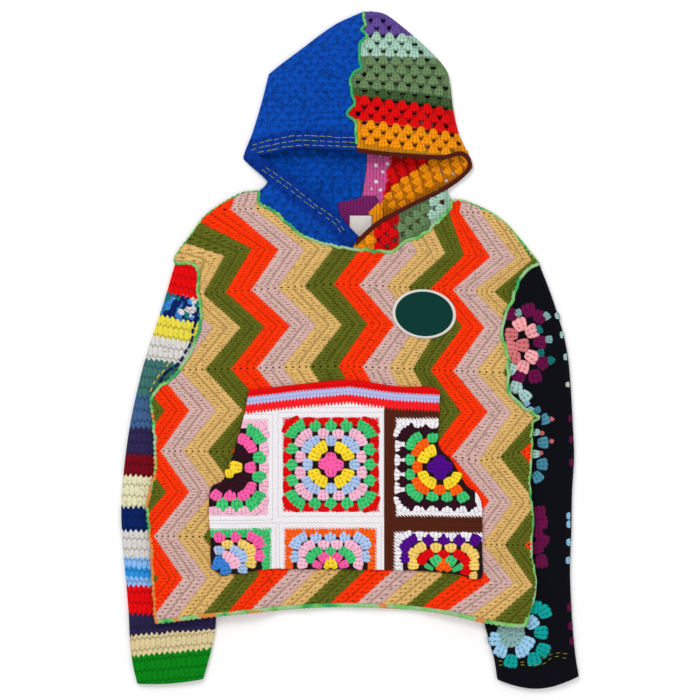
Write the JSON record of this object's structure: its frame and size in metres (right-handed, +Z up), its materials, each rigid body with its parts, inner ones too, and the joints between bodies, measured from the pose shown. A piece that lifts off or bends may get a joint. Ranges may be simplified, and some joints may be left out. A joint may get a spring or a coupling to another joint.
{
  "type": "crocheted patchwork hoodie",
  "caption": "Pullover hoodie of crocheted yarn, laid flat: zigzag ripple body, granny-square pouch pocket, striped and granny sleeves, two-tone hood with a bound face opening.",
  "frame": {"origin": "on the surface that the garment lies on, at the middle of its bounding box", "axes": "+Y runs from the cuffs to the crown of the hood, +X to the wearer's left as seen lying on the back, +Z up from the surface"},
  "size_m": [0.686, 1.0146, 0.0335],
  "materials": {
    "ripple_front": "matt acrylic yarn in orange, mauve, tan and olive zigzag stripes",
    "ripple_back": "matt acrylic yarn in orange, mauve, tan and olive zigzag stripes",
    "striped_sleeve": "matt acrylic yarn in cross stripes of many colours",
    "granny_sleeve": "matt near-black yarn with cluster motifs in pink, plum, teal and blue",
    "blue_hood": "matt royal blue yarn in a shell stitch",
    "granny_hood": "matt yarn in granny stripe of purple, mint, sage, red and orange",
    "brown_binding": "matt dark brown yarn",
    "granny_pocket": "matt yarn clusters in many colours on white and brown sashing",
    "patch_cloth": "dark green twill with an off-white embroidered rim",
    "label_cloth": "blank off-white woven tape"
  },
  "bodies": {
    "root": {"front_panel": "ripple_front", "back_panel": "ripple_back", "sleeve_left": "striped_sleeve", "sleeve_right": "granny_sleeve", "hood_left": "blue_hood", "hood_right_front": "granny_hood", "hood_right_back": "granny_hood", "hood_binding": "brown_binding", "pocket": "granny_pocket", "chest_patch": "patch_cloth", "neck_label": "label_cloth"}
  },
  "joints": []
}
